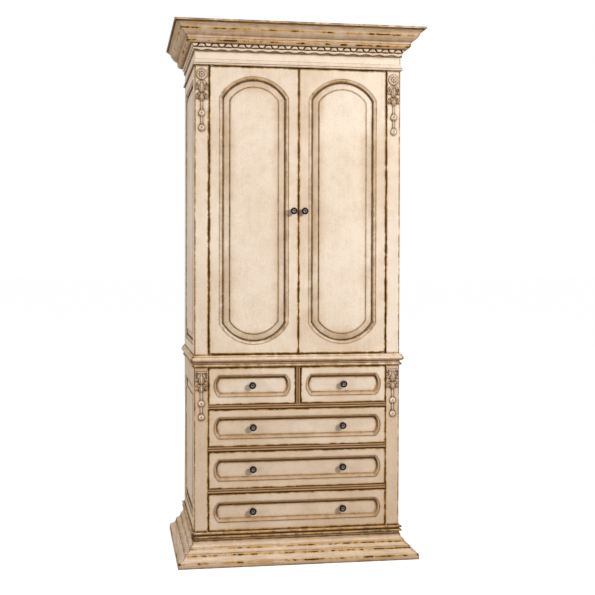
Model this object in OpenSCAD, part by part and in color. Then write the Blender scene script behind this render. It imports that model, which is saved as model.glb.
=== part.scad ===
// Painted two-part armoire: a chest of five drawers that carries a cupboard with two arched doors.
// Millimetres. Origin at the bottom centre of the whole piece, +Z up, front towards -Y.

/* [Case] */
// Width over the two pilasters
case_w = 955; // [880:5:1150]
// Depth from the face of the pilasters to the back
case_d = 600; // [520:5:720]
// Height of the top of the crown
total_h = 2440; // [2250:10:2900]
// Width of each pilaster
pilaster_w = 63.5; // [58:0.5:80]
// Thickness of the face frame, doors and drawer fronts
face_t = 22; // [20:0.5:26]
// Thickness of the side frames
side_t = 22; // [20:0.5:26]
// Thickness of the inner boards
board_t = 20; // [18:0.5:24]
// Thickness of the plywood backs
back_t = 8; // [6:0.5:12]
// Width of the stiles of the side frames
side_stile_w = 56; // [45:1:70]

/* [Mouldings] */
// Height of the plinth moulding
plinth_h = 142; // [130:1:160]
// Projection of the plinth moulding
plinth_p = 76.5; // [76.5:0.5:90]
// Height of the frame hidden in the plinth
plinth_frame_h = 100; // [80:1:110]
// Height of the waist moulding
waist_h = 55; // [50:1:62]
// Projection of the waist moulding
waist_p = 17; // [14:0.5:22]
// How far the waist moulding stands above the joint between the two cases
waist_lap = 26; // [20:1:28]
// Height of the crown moulding
crown_h = 90; // [84:1:110]
// Projection of the crown moulding
crown_p = 96; // [96:0.5:120]
// Height of the carved rope moulding under the crown
rope_h = 34; // [28:1:38]
// Projection of the rope moulding
rope_p = 14; // [12:0.5:16]
// Height of the plain frieze
frieze_h = 35; // [25:1:60]
// Height of the bead moulding under the frieze
bead_h = 27; // [22:1:32]
// Projection of the bead moulding
bead_p = 9.2; // [8:0.1:11]
// Depth of the tray left above the crown's dust cover
crown_tray = 31; // [20:1:50]

/* [Drawers] */
// Height of each drawer opening
drawer_open_h = 169.5; // [140:0.5:204]
// Height of the reeded rails between the drawers
rail_h = 22; // [18:0.5:28]
// Height of the rail over the top drawers
top_rail_h = 32; // [28:0.5:40]
// Front to back depth of the reeded rails
rail_d = 62; // [50:1:80]
// Gap over and under a drawer front
drawer_gap = 1.8; // [1.5:0.1:3]
// Gap at each end of a drawer front
drawer_end_gap = 2.4; // [2:0.1:4]
// Height of the drawer boxes
drawer_box_h = 128; // [90:1:135]
// Thickness of the sides and back of the drawer boxes
drawer_side_t = 12; // [10:0.5:15]
// Thickness of the drawer bottoms
drawer_bottom_t = 6; // [4:0.5:8]
// Free space behind the drawer boxes
drawer_back_gap = 50; // [30:5:150]
// Clear space between a drawer box and its guides
guide_gap = 1.5; // [1:0.1:3]
// Distance from the edge of a drawer front to the ends of its sunk field
field_margin_x = 23; // [16:0.5:40]
// Half height of the sunk field on the three upper rows
field_half = 50; // [40:0.5:60]
// Half height of the sunk field on the bottom drawer
field_half_bottom = 46; // [40:0.5:60]
// Bulge of the rounded ends of the sunk fields
field_rise = 22.5; // [15:0.5:30]
// Distance between the two knobs of a wide drawer
knob_pair = 418; // [300:2:600]
// Knob height above the middle of a drawer front
knob_lift = 2; // [0:0.5:6]
// Depth of the sunk fields
field_depth = 11; // [7:0.5:12]
// Diameter of all the knobs
knob_d = 32; // [26:0.5:38]

/* [Doors] */
// Gap between a door and the pilaster beside it
hinge_gap = 4; // [3:0.1:5]
// Gap between the two doors
meeting_gap = 2.4; // [2:0.1:4]
// Gap over and under the doors
door_gap = 2.9; // [2.5:0.1:4]
// Distance from the edge of a door to its arched outline
door_margin = 45.5; // [40:0.5:60]
// Distance from the top and bottom edges of a door to its arches
door_margin_end = 42; // [36:0.5:60]
// Rise of the arched ends of a door panel
door_rise = 95; // [60:1:120]
// Height of the door knobs above the floor
door_knob_z = 1600; // [1400:5:1700]
// Distance of a door knob from the middle of the armoire
door_knob_x = 25.5; // [22:0.5:34]
// Distance of the pivot from the hinge edge of a door
pivot_in = 9; // [8:0.5:10]
// Distance of the pivot behind the face of a door
pivot_back = 7; // [6:0.5:8]
// Diameter of the pivot pins
pivot_d = 6; // [5:0.5:7]

/* [Inside] */
// Clear height over the hat shelf
hat_space = 204; // [150:2:400]
// Diameter of the clothes rail
rail_tube_d = 28; // [22:1:32]

/* [Hidden] */
$fn = 64;
// Longer than any half panel, for cuts that run on to the middle
big = 1400;
// Flat left at the two ends of each round or hollow of a moulding
arris = 0.1;
// Hairline between two pieces of one group that meet at a joint
seam = 0.05;

cream = [0.93, 0.87, 0.76];
umber = [0.78, 0.66, 0.50];
bare_wood = [0.80, 0.64, 0.44];
ply = [0.76, 0.60, 0.42];
iron = [0.12, 0.11, 0.11];
steel = [0.62, 0.62, 0.60];

// Main planes
half_w = case_w / 2;
face_y = (crown_p - case_d) / 2;
back_y = face_y + case_d;
frame_y = face_y + face_t;
inner_x = half_w - side_t;
open_x = half_w - pilaster_w;
back_in = back_y - back_t;
rebate = 10;
rebate_gap = 0.2;

// Heights of the lower case
first_open_z = plinth_h + 2;
row_pitch = drawer_open_h + rail_h;
deck_z = first_open_z + 3 * row_pitch + drawer_open_h + top_rail_h;
deck_t = 22;
function row_z(row) = first_open_z + (3 - row) * row_pitch;
stile_w = 22;

// Heights of the upper case
upper_bottom_t = waist_lap;
cup_z = deck_z + upper_bottom_t;
bead_z = total_h - crown_h - rope_h - frieze_h - bead_h;
rope_z = total_h - crown_h - rope_h;
crown_z = total_h - crown_h;
open_top_z = bead_z - 1;
shoulder_z = bead_z + 6;
upper_top_z = total_h - crown_tray - back_t;
shelf_z = bead_z - hat_space - board_t;

// Sticking: the rounded moulding sunk round every panel and field
stick_step = 2.2;
stick_flat = 1.5;
stick_quirk = 0.6;
stick_w = 17;
stick_h = 7;
groove = 8;
tongue_t = 5.6;
groove_t = 6;
groove_z = -15.5;
bevel_w = 31.5;
field_z = -2.6;
bevel_top = -5.6;
bevel_low = groove_z + (groove_t + tongue_t) / 2;

// Openings of the side frames, up the case and along Y
lower_side_z0 = plinth_h + 48;
lower_side_z1 = deck_z - waist_h + waist_lap - 94;
upper_side_z0 = cup_z + 41;
upper_side_z1 = bead_z - 50;
side_open_y0 = frame_y + side_stile_w;
side_open_y1 = back_y - side_stile_w - face_t;
side_mid_y = (side_open_y0 + side_open_y1) / 2;
side_half_y = (side_open_y1 - side_open_y0) / 2;

// Doors
door_w = open_x - hinge_gap - meeting_gap / 2;
door_cx = meeting_gap / 2 + door_w / 2;
door_z = cup_z + door_gap;
door_h = open_top_z - door_gap - door_z;
door_hw = door_w / 2 - door_margin;
door_len = door_h / 2 - door_margin_end;
pivot_x = open_x - hinge_gap - pivot_in;
pivot_y = face_y + pivot_back;

// Pivot hardware and catch
pin_gap = 0.05;
plate_t = 2.5;
plate_l = 44;
plate_w = 10;
bush_d = 10;
bush_l = 18;
strike_t = 1.5;
strike_x = [14, 44];
strike_h = 24;
catch_half = 48;
catch_h = 16;
catch_d = 17.7;

// Drawers
front_h = drawer_open_h - 2 * drawer_gap;
box_margin = 3;
box_half = open_x - box_margin;
box_lift = 0.3;
bottom_up = 10;
bottom_in = 5;
drawer_box_d = back_in - frame_y - drawer_back_gap;
runner_t = 18;
runner_w = 25;
guide_h = 40;
pair = [-knob_pair / 2, knob_pair / 2];
wide = [-open_x, open_x];
small_left = [-open_x, -stile_w / 2];
small_right = [stile_w / 2, open_x];
function middle(span) = (span[0] + span[1]) / 2;
function clear(span, gap) = [span[0] + gap, span[1] - gap];

// Plinth frame and inside fittings
plinth_frame_t = face_t + 3;
cleat_t = 20;
cleat_h = 90;
shelf_in = 90;
tube_wall = 1.5;
socket_t = 3;
socket_l = 16;

// Knobs
stem_l = 9;
stem_r = 2.5;
rose_r = 9;
neck_r = 5.5;
knob_rim = 3.4;
dimple_r = 2.6;
knob_l = 25.8;

// ---------- small helpers ----------

// A box given by its low and high corners
module block(low, high) {
  translate(low) cube(high - low);
}

// The same piece on the left and on the right
module both_sides() {
  children();
  mirror([1, 0, 0]) children();
}

// The left-hand copy of a piece drawn for the right
module left() {
  mirror([1, 0, 0]) children();
}

// Centre of an arc of radius r through a and b, on the outside (side 1) or inside (side -1) of a profile
function arc_centre(a, b, r, side) =
  let (d = b - a, l = norm(d), n = [d[1], -d[0]] / l, out = n[0] > 0 ? n : -n)
  (a + b) / 2 + side * sqrt(r * r - l * l / 4) * out;

// One step of a moulding profile from a to b, both [projection, height].
// r = 0 is straight, r < 0 a hollow and r > 0 a round.
module step(a, b, r = 0) {
  low = min(a[1], b[1]);
  high = max(a[1], b[1]);
  difference() {
    union() {
      polygon([[0, a[1]], a, b, [0, b[1]]]);
      if (r > 0) intersection() {
        translate(arc_centre(a, b, r, -1)) circle(r - arris);
        translate([0, low]) square([max(a[0], b[0]), high - low]);
      }
    }
    if (r < 0) translate(arc_centre(a, b, -r, 1)) circle(-r - arris);
  }
}

// A whole profile from a list of [projection, height, radius of the step that follows]
module profile(points) {
  for (i = [0 : len(points) - 2])
    step([points[i][0], points[i][1]], [points[i + 1][0], points[i + 1][1]], points[i][2]);
}

// A bead of radius r on its neck, its middle at projection x and height z
module bead(x, z, r) {
  translate([x, z]) circle(r);
  translate([0, z - r + arris]) square([x, 2 * (r - arris)]);
}

// A moulding of the profile in children(), mitred round the front and both sides of the case.
// p_max is the largest projection and h the height of the profile.
module mitred_moulding(p_max, h) {
  reach = p_max + 1;
  intersection() {
    translate([-half_w - reach, face_y, 0]) rotate([90, 0, 90])
      linear_extrude(2 * (half_w + reach)) mirror([1, 0]) children();
    linear_extrude(h) polygon([
      [-half_w, face_y], [half_w, face_y],
      [half_w + reach, face_y - reach], [-half_w - reach, face_y - reach]
    ]);
  }
  both_sides() intersection() {
    translate([half_w, back_y, 0]) rotate([90, 0, 0]) linear_extrude(case_d + reach) children();
    linear_extrude(h) polygon([
      [half_w, face_y + seam], [half_w, back_y], [half_w + reach, back_y],
      [half_w + reach, face_y - reach + seam]
    ]);
  }
}

// ---------- panels and sunk fields ----------
// Each profile is drawn as [inset from the outline, height over the face] and covers the side
// towards the middle of the panel. long is the half length, half the half width, rise the bulge
// of the two rounded ends.

module trough(half, length) {
  rotate([90, 0, 90]) linear_extrude(length, center = true) both_ways() intersection() {
    translate([half, 0]) mirror([1, 0]) children();
    translate([0, -50]) square([half + 10, 100]);
  }
}

module both_ways() {
  children();
  mirror([1, 0]) children();
}

module turned(radius) {
  rotate_extrude($fn = 128) intersection() {
    translate([radius, 0]) mirror([1, 0]) children();
    translate([0, -50]) square([radius + 10, 100]);
  }
}

function end_radius(half, rise) = (half * half + rise * rise) / (2 * rise);

// Straight long sides along X and a segment of a circle at each end
module round_ended(long, half, rise) {
  r = end_radius(half, rise);
  c = long - r;
  intersection() {
    trough(half, 2 * long + 20) children();
    union() {
      for (s = [-1, 1]) translate([s * c, 0, 0]) turned(r) children();
      if (c > 0) cube([2 * c, 2 * half + 20, 100], center = true);
    }
  }
}

// Square corners, mitred
module square_ended(half_x, half_y) {
  intersection() {
    trough(half_y, 2 * half_x + 20) children();
    rotate([0, 0, 90]) trough(half_x, 2 * half_y + 20) children();
  }
}

// Wood removed by the sticking: a small step, then a round down to a narrow flat
module sticking(depth = stick_h) {
  drop = depth - stick_step;
  run = stick_w - stick_flat - stick_quirk;
  r = (run * run + drop * drop) / (2 * drop);
  difference() {
    translate([0, -depth]) square([big, depth + 1]);
    translate([stick_flat, -stick_step - r]) circle(r, $fn = 96);
    translate([0, -depth]) square([stick_flat, drop]);
  }
}

// Wood removed for a loose panel: the sticking, the opening and the groove
module sticking_and_groove() {
  sticking();
  translate([stick_w, -30]) square([big, 30]);
  translate([stick_w - groove, groove_z]) square([big, groove_t]);
}

// A raised panel with its tongue in the groove
module raised_panel_profile() {
  in = stick_w - groove + 0.5;
  slack = (groove_t - tongue_t) / 2;
  polygon([
    [in, groove_z + slack], [in, bevel_low], [stick_w + 2, bevel_low], [stick_w + bevel_w, bevel_top],
    [stick_w + bevel_w, field_z], [big, field_z], [big, groove_z + slack]
  ]);
}

// Turns a face drawn in XY to the front of the armoire
module to_front(x, z) {
  translate([x, face_y, z]) rotate([90, 0, 0]) children();
}

// ---------- plinth ----------

module plinth_frame() color(bare_wood) {
  t = plinth_frame_t;
  for (y = [face_y, back_y - t])
    block([-half_w, y, 0], [half_w, y + t, plinth_frame_h]);
  both_sides() block([half_w - t, face_y + t + seam, 0], [half_w, back_y - t - seam, plinth_frame_h]);
}

// Plinth block, worn cove, fillets, a second cove with its lip and two quirked beads, from the floor up
module plinth_moulding() color(umber) mitred_moulding(plinth_p, plinth_h) {
  profile([
    [plinth_p, 0, 0], [plinth_p, 18.5, 0], [plinth_p - 1.6, 20, 0], [plinth_p - 1.6, 21, 4],
    [plinth_p - 3.5, 26.5, -30], [44, 47, 0], [42.5, 57, -22], [21.5, 72, 0], [20, 81, -20],
    [7, 100, 0], [7, 104, 0]
  ]);
  square([3, plinth_h]);
  bead(8, plinth_h - 21.5, 4.6);
  bead(8, plinth_h - 4.7, 4.6);
}

// ---------- lower case ----------

// Turns a panel drawn in XY to the right side of the case
module to_side(z0, z1) {
  translate([half_w, side_mid_y, (z0 + z1) / 2]) rotate([90, 0, 90]) children();
}

// Two stiles and two rails round an opening from z0 to z1, grooved for a panel
module side_frame(low, high, z0, z1) {
  difference() {
    union() {
      for (y = [[frame_y, side_open_y0 + stick_w], [side_open_y1 - stick_w, back_y]])
        block([inner_x, y[0], low], [half_w, y[1], high]);
      for (z = [[low, z0 + stick_w], [z1 - stick_w, high]])
        block([inner_x, side_open_y0 + stick_w + seam, z[0]], [half_w, side_open_y1 - stick_w - seam, z[1]]);
    }
    to_side(z0, z1) square_ended(side_half_y, (z1 - z0) / 2) sticking_and_groove();
    block([inner_x - 1, back_in, low - 1], [inner_x + rebate, back_y + 1, high + 1]);
  }
}

module side_panel(z0, z1) {
  to_side(z0, z1) square_ended(side_half_y, (z1 - z0) / 2) raised_panel_profile();
}

module lower_side_frames() color(cream)
  both_sides() side_frame(plinth_frame_h, deck_z, lower_side_z0, lower_side_z1);

module lower_side_panels() color(umber)
  both_sides() side_panel(lower_side_z0, lower_side_z1);

module lower_pilasters() color(cream)
  both_sides() block([open_x, face_y, plinth_frame_h], [half_w, frame_y, deck_z]);

// Two reeds side by side in front of a body, drawn across the length of the rail
module reeded(width, depth) {
  r = width / 4;
  translate([1 + r, 0]) square([depth - 1 - r, width]);
  for (i = [1, 3]) translate([1 + r, i * r]) circle(r);
}

module lower_rails() color(cream) {
  block([-open_x, face_y, deck_z - top_rail_h], [open_x, frame_y, deck_z]);
  block([-open_x, face_y, plinth_frame_h], [open_x, frame_y, first_open_z]);
  for (row = [1 : 3]) translate([-open_x, face_y, row_z(row) + drawer_open_h])
    rotate([90, 0, 90]) linear_extrude(2 * open_x) reeded(rail_h, rail_d);
}

module drawer_centre_stile() color(cream)
  translate([stile_w / 2, face_y, row_z(0)]) rotate([0, 0, 90])
    linear_extrude(drawer_open_h) reeded(stile_w, rail_d);

// L-shaped hardwood runner with its guide, for the right side of the case
module runner_profile() {
  translate([open_x - runner_w, -runner_t]) square([inner_x - open_x + runner_w, runner_t]);
  translate([box_half + guide_gap, -runner_t]) square([inner_x - box_half - guide_gap, runner_t + guide_h]);
}

// Stretches a profile from the rails to the back
module along_depth() {
  translate([0, back_in, 0]) rotate([90, 0, 0]) linear_extrude(back_in - face_y - rail_d) children();
}

module drawer_runners() color(bare_wood) {
  for (row = [0 : 2]) translate([0, 0, row_z(row)]) both_sides() along_depth() runner_profile();
  both_sides() translate([0, 0, row_z(3)]) along_depth()
    translate([box_half + guide_gap, 0]) square([inner_x - box_half - guide_gap, guide_h]);
  guide_half = stile_w / 2 + box_margin - guide_gap;
  translate([0, 0, row_z(0)]) along_depth() {
    translate([-guide_half - runner_w, -runner_t]) square([2 * (guide_half + runner_w), runner_t]);
    translate([-guide_half, -runner_t]) square([2 * guide_half, runner_t + guide_h]);
  }
}

module lower_bottom_board() color(ply)
  block([-inner_x, frame_y, first_open_z - board_t], [inner_x, back_in, first_open_z]);

module deck_board() color(ply)
  block([-inner_x, frame_y, deck_z - deck_t], [inner_x, back_in, deck_z]);

// Plywood back let into the rebates of the side frames
module back_board(low, high) {
  half = inner_x + rebate - rebate_gap;
  block([-half, back_in, low], [half, back_y, high]);
}

module lower_back() color(ply) back_board(plinth_frame_h, deck_z);

// Torus over a small bead, with a sloped top that holds the upper case in place
module waist_moulding() color(umber) translate([0, 0, deck_z - waist_h + waist_lap])
  mitred_moulding(waist_p, waist_h) {
    torus = 12;
    fillet = waist_p - 6.5;
    bead(4.2, 5.6, 5.5);
    square([2, waist_h - 9]);
    translate([waist_p - torus, waist_h - 21.5]) circle(torus);
    polygon([[0, waist_h], [fillet, waist_h - 8], [fillet, waist_h - 12], [0, waist_h - 12]]);
  }

// ---------- upper case ----------

module upper_side_frames() color(cream)
  both_sides() side_frame(deck_z, upper_top_z, upper_side_z0, upper_side_z1);

module upper_side_panels() color(umber)
  both_sides() side_panel(upper_side_z0, upper_side_z1);

module upper_pilasters() color(cream)
  both_sides() block([open_x, face_y, deck_z], [half_w, frame_y, shoulder_z]);

// Bore for a pivot bush, from its flange into the wood
module bush_bore() {
  translate([pivot_x, pivot_y, -bush_l]) cylinder(d = bush_d, h = bush_l + 1);
}

// Board over the doors, notched over the tops of the pilasters
module frieze_board() color(cream) difference() {
  union() {
    block([-half_w, face_y, shoulder_z], [half_w, frame_y, upper_top_z]);
    block([-open_x, face_y, open_top_z], [open_x, frame_y, shoulder_z]);
  }
  both_sides() translate([0, 0, open_top_z]) mirror([0, 0, 1]) bush_bore();
}

module upper_bottom_board() color(ply) difference() {
  union() {
    block([-inner_x, frame_y, deck_z], [inner_x, back_in, cup_z]);
    block([-open_x, face_y, deck_z], [open_x, frame_y, cup_z]);
  }
  both_sides() translate([0, 0, cup_z]) bush_bore();
}

module upper_top_board() color(ply)
  block([-inner_x, frame_y, bead_z], [inner_x, back_in, bead_z + board_t]);

module upper_back() color(ply) back_board(deck_z, upper_top_z);

module hat_shelf() color(bare_wood)
  block([-inner_x, frame_y + shelf_in, shelf_z], [inner_x, back_in, shelf_z + board_t]);

module shelf_cleats() color(bare_wood) both_sides()
  block([inner_x - cleat_t, frame_y + 20, shelf_z - cleat_h], [inner_x, back_in, shelf_z]);

// Puts a piece drawn up Z on the axis of the clothes rail, pointing left from x
module on_clothes_rail(x) {
  translate([x, (frame_y + back_in) / 2, shelf_z - cleat_h / 2 - 10]) rotate([0, -90, 0]) children();
}

module clothes_rail() color(steel) {
  half = inner_x - cleat_t - socket_t;
  on_clothes_rail(half) difference() {
    cylinder(d = rail_tube_d, h = 2 * half);
    translate([0, 0, -1]) cylinder(d = rail_tube_d - 2 * tube_wall, h = 2 * half + 2);
  }
}

module rail_sockets() color(steel) both_sides() on_clothes_rail(inner_x - cleat_t) {
  difference() {
    union() {
      cylinder(r = rail_tube_d / 2 + 11, h = socket_t);
      cylinder(r = rail_tube_d / 2 + 3, h = socket_l);
    }
    translate([0, 0, socket_t]) cylinder(r = rail_tube_d / 2 + 0.1, h = socket_l);
  }
}

// Ovolo, fillet, rounded soffit, arris, hollow, quirk and top fillet, read from the bottom up
module crown_moulding() color(umber) translate([0, 0, crown_z]) mitred_moulding(crown_p, crown_h) {
  p = crown_p;
  h = crown_h;
  profile([
    [20, 0, 19], [39.5, 17, 0], [38, 18.4, 0], [40, 19.4, 0], [40, 29.5, 0], [41.5, 30, 60],
    [p - 25.5, h - 32.5, 0], [p - 24.5, h - 28.5, -30], [p - 6, h - 12, 0], [p - 9, h - 11.5, 0],
    [p - 9, h - 8.5, 0], [p, h - 8, 0], [p, h, 0]
  ]);
}

// Half-round ground of the carved rope
module rope_moulding() color(cream) translate([0, 0, rope_z]) mitred_moulding(rope_p, rope_h)
  intersection() {
    translate([rope_p - rope_h / 2, rope_h / 2]) circle(rope_h / 2);
    square([rope_p, rope_h]);
  }

// Bead under a hollow that dies into the frieze
module frieze_bead() color(cream) translate([0, 0, bead_z]) mitred_moulding(bead_p, bead_h) {
  r = 4.8;
  profile([[bead_p - 1.2, 2 * r, -20], [0.8, bead_h, 0]]);
  square([bead_p - r, 2 * r]);
  translate([bead_p - r, r]) circle(r);
}

module crown_dust_cover() color(ply)
  block([-half_w, face_y, upper_top_z], [half_w, back_y, upper_top_z + back_t]);

// ---------- carved drops on the pilasters ----------

// Pointed leaf outline of width w and height h
module leaf(w, h) {
  r = (w * w + h * h) / (4 * w);
  intersection_for(s = [-1, 1]) translate([s * (r - w / 2), 0]) circle(r);
}

// Three overlapping leaves that hang from the origin
module leaf_spray(w, h) {
  for (a = [-30, 30]) rotate([0, 0, a]) translate([0, -0.44 * h, 0]) linear_extrude(5) leaf(0.36 * w, h);
  translate([0, -0.5 * h, 0]) linear_extrude(8) leaf(0.42 * w, h);
}

// Seed pod of width w and height h, half sunk in the face and hanging from the origin
module pod(w, h) {
  translate([0, -h / 2, 0]) intersection() {
    rotate([90, 0, 0]) rotate_extrude() intersection() {
      leaf(w, h);
      translate([0, -h]) square([w, 2 * h]);
    }
    translate([-w, -h, 0]) cube([2 * w, 2 * h, w]);
  }
}

// Stem with two pods, hanging from the origin
module stem_and_pods() {
  translate([-4, -140, 0]) cube([8, 146, 4]);
  translate([0, -28, 0]) pod(26, 40);
  translate([0, -98, 0]) pod(24, 38);
}

module rosette() {
  rotate_extrude() {
    square([23.4, 4]);
    translate([18, 4]) circle(3.6);
    square([9, 7]);
    translate([5, 7]) circle(3);
  }
}

module carved_drops() color(umber) both_sides() {
  x = open_x + pilaster_w / 2;
  to_front(x, bead_z - 42) {
    rosette();
    translate([0, -22, 0]) leaf_spray(54, 62);
    translate([0, -66, 0]) leaf_spray(50, 58);
    translate([0, -118, 0]) stem_and_pods();
  }
  to_front(x, deck_z - waist_h + waist_lap - 20) {
    for (s = [-1, 1]) translate([s * 19, -4, 0]) cylinder(r = 7, h = 7);
    translate([-19, -8, 0]) cube([38, 8, 4.4]);
    translate([0, -2, 0]) leaf_spray(54, 62);
    translate([0, -42, 0]) leaf_spray(50, 52);
    translate([0, -86, 0]) stem_and_pods();
  }
}

// ---------- door hardware in the case ----------

// Bush pressed into the wood, with a flange that takes up the gap; the origin is on the wood
module pivot_bush(flange_t) {
  difference() {
    union() {
      translate([0, 0, -bush_l]) cylinder(d = bush_d, h = bush_l);
      cylinder(d = 2 * pivot_back, h = flange_t);
    }
    translate([0, 0, -bush_l - 1]) cylinder(r = pivot_d / 2 + pin_gap, h = bush_l + flange_t + 2);
  }
}

module pivot_bushes() color(steel) both_sides() {
  translate([pivot_x, pivot_y, cup_z]) pivot_bush(door_gap - 0.1);
  translate([pivot_x, pivot_y, open_top_z]) mirror([0, 0, 1]) pivot_bush(1.2);
}

// Sealed case of a double magnetic catch, screwed under the top board
module magnetic_catch() color(steel) translate([0, frame_y + strike_t + 0.3, bead_z - catch_h])
  block([-catch_half, 0, 0], [catch_half, catch_d, catch_h]);

// ---------- doors ----------
// Each part of a door is drawn for the right one and mirrored for the left one.

// Turns a face drawn with its length along X to the upright middle of the right door
module to_door() {
  to_front(door_cx, door_z + door_h / 2) rotate([0, 0, 90]) children();
}

module door_outline() {
  round_ended(door_len, door_hw, door_rise) children();
}

// Steel plate let into the edge of a door, with its pin; the origin is on the edge
module pivot_plate(grow = 0) {
  translate([pivot_x + pivot_in - 1 - plate_l - grow, pivot_y - plate_w / 2 - grow, 0])
    cube([plate_l + 2 * grow, plate_w + 2 * grow, plate_t + grow]);
}

module door_frame() color(cream) {
  edge = door_hw - stick_w;
  half_h = door_h / 2;
  end_z = door_len - end_radius(door_hw, door_rise);
  difference() {
    to_front(door_cx, door_z + half_h) {
      for (s = [-1, 1]) translate([s > 0 ? edge : -door_w / 2, -half_h, -face_t])
        cube([door_w / 2 - edge, door_h, face_t]);
      for (s = [-1, 1]) translate([seam - edge, s > 0 ? end_z : -half_h, -face_t])
        cube([2 * edge - 2 * seam, half_h - end_z, face_t]);
    }
    to_door() door_outline() sticking_and_groove();
    translate([0, 0, door_z]) pivot_plate(pin_gap);
    translate([0, 0, door_z + door_h]) mirror([0, 0, 1]) pivot_plate(pin_gap);
    to_front(door_knob_x, door_knob_z) translate([0, 0, -stem_l - 0.5]) cylinder(r = stem_r + 0.1, h = 20);
  }
}

module door_panel() color(umber) to_door() door_outline() raised_panel_profile();

module door_knob() color(iron) to_front(door_knob_x, door_knob_z) knob();

module door_pivots() color(steel) {
  for (top = [false, true]) translate([0, 0, top ? door_z + door_h : door_z]) mirror([0, 0, top ? 1 : 0]) {
    pivot_plate();
    translate([pivot_x, pivot_y, -door_gap - bush_l + 3]) cylinder(d = pivot_d, h = door_gap + bush_l - 2);
  }
}

module door_strike() color(steel)
  block([strike_x[0], frame_y, door_z + door_h - 2 - strike_h],
        [strike_x[1], frame_y + strike_t, door_z + door_h - 2]);

// Small iron knob: rose, flared neck, head with a rolled rim and a dished face, and a stem
module knob() {
  head_r = knob_d / 2 - knob_rim;
  rim_z = knob_l - knob_rim;
  dish_r = 18.4;
  translate([0, 0, -stem_l]) cylinder(r = stem_r, h = stem_l + 1);
  rotate_extrude() difference() {
    union() {
      square([rose_r, 1.6]);
      square([neck_r, rim_z]);
      polygon([[0, 1.6], [rose_r - 0.6, 1.6], [neck_r, 6], [0, 6]]);
      polygon([[0, 11], [neck_r, 11], [head_r - 0.2, rim_z - 2.8], [0, rim_z - 2.8]]);
      translate([head_r, rim_z]) circle(knob_rim);
      translate([0, rim_z - knob_rim]) square([head_r, 2 * knob_rim]);
    }
    translate([0, knob_l + dish_r - 1.6]) circle(dish_r);
    translate([-dimple_r, knob_l - 3.4]) square([2 * dimple_r, 4]);
    translate([-knob_rim, 0]) square([knob_rim, knob_l]);
  }
}

// ---------- drawers ----------
// span is the opening that a drawer fills, from its low to its high end along X.

function row_mid(row) = row_z(row) + drawer_open_h / 2;

// Room that the drawer bottom takes in the front and the sides; grow is its clearance
module bottom_room(span, row, grow) {
  x = clear(span, box_margin + drawer_side_t - bottom_in - grow);
  low = row_z(row) + box_lift + bottom_up;
  block([x[0], frame_y - bottom_in - grow, low - grow],
        [x[1], frame_y + drawer_box_d, low + drawer_bottom_t + grow]);
}

// Front board with its sunk field, the holes for the knobs and the groove for the bottom
module drawer_front(span, row, half, knob_offsets) color(cream) {
  x = clear(span, drawer_end_gap);
  long = (x[1] - x[0]) / 2 - field_margin_x;
  difference() {
    block([x[0], face_y, row_mid(row) - front_h / 2], [x[1], frame_y, row_mid(row) + front_h / 2]);
    to_front(middle(span), row_mid(row)) round_ended(long, half, field_rise) sticking(field_depth);
    for (k = knob_offsets) to_front(middle(span) + k, row_mid(row) + knob_lift)
      translate([0, 0, -field_depth - stem_l - 0.5]) cylinder(r = stem_r + 0.1, h = stem_l + 2);
    bottom_room(span, row, 0.1);
  }
}

// Two sides and a back; the back stands on the bottom board
module drawer_box(span, row) color(bare_wood) {
  low = row_z(row) + box_lift;
  x = clear(span, box_margin);
  t = drawer_side_t;
  back = frame_y + drawer_box_d - 10;
  difference() {
    for (side = [x[0], x[1] - t]) translate([side, frame_y, low]) cube([t, drawer_box_d, drawer_box_h]);
    bottom_room(span, row, 0.1);
  }
  block([x[0] + t + seam, back - t, low + bottom_up + drawer_bottom_t + 0.1],
        [x[1] - t - seam, back, low + drawer_box_h - 6]);
}

module drawer_bottom(span, row) color(ply) bottom_room(span, row, 0);

module drawer_knobs(span, row, knob_offsets) color(iron)
  for (k = knob_offsets) to_front(middle(span) + k, row_mid(row) + knob_lift)
    translate([0, 0, -field_depth]) knob();

// ---------- nodes ----------

plinth_frame();
plinth_moulding();
lower_side_frames();
lower_side_panels();
lower_pilasters();
lower_rails();
drawer_centre_stile();
drawer_runners();
lower_bottom_board();
deck_board();
lower_back();
waist_moulding();
upper_side_frames();
upper_side_panels();
upper_pilasters();
frieze_board();
upper_bottom_board();
upper_top_board();
upper_back();
hat_shelf();
shelf_cleats();
clothes_rail();
rail_sockets();
crown_moulding();
rope_moulding();
frieze_bead();
crown_dust_cover();
carved_drops();
pivot_bushes();
magnetic_catch();
left() door_frame();  // door_left_frame
left() door_panel();  // door_left_panel
left() door_knob();  // door_left_knob
left() door_pivots();  // door_left_pivots
left() door_strike();  // door_left_strike
door_frame();  // door_right_frame
door_panel();  // door_right_panel
door_knob();  // door_right_knob
door_pivots();  // door_right_pivots
door_strike();  // door_right_strike
drawer_front(small_left, 0, field_half, [0]);  // drawer_top_left_front
drawer_box(small_left, 0);  // drawer_top_left_box
drawer_bottom(small_left, 0);  // drawer_top_left_bottom
drawer_knobs(small_left, 0, [0]);  // drawer_top_left_knob
drawer_front(small_right, 0, field_half, [0]);  // drawer_top_right_front
drawer_box(small_right, 0);  // drawer_top_right_box
drawer_bottom(small_right, 0);  // drawer_top_right_bottom
drawer_knobs(small_right, 0, [0]);  // drawer_top_right_knob
drawer_front(wide, 1, field_half, pair);  // drawer_2_front
drawer_box(wide, 1);  // drawer_2_box
drawer_bottom(wide, 1);  // drawer_2_bottom
drawer_knobs(wide, 1, pair);  // drawer_2_knobs
drawer_front(wide, 2, field_half, pair);  // drawer_3_front
drawer_box(wide, 2);  // drawer_3_box
drawer_bottom(wide, 2);  // drawer_3_bottom
drawer_knobs(wide, 2, pair);  // drawer_3_knobs
drawer_front(wide, 3, field_half_bottom, pair);  // drawer_4_front
drawer_box(wide, 3);  // drawer_4_box
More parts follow.
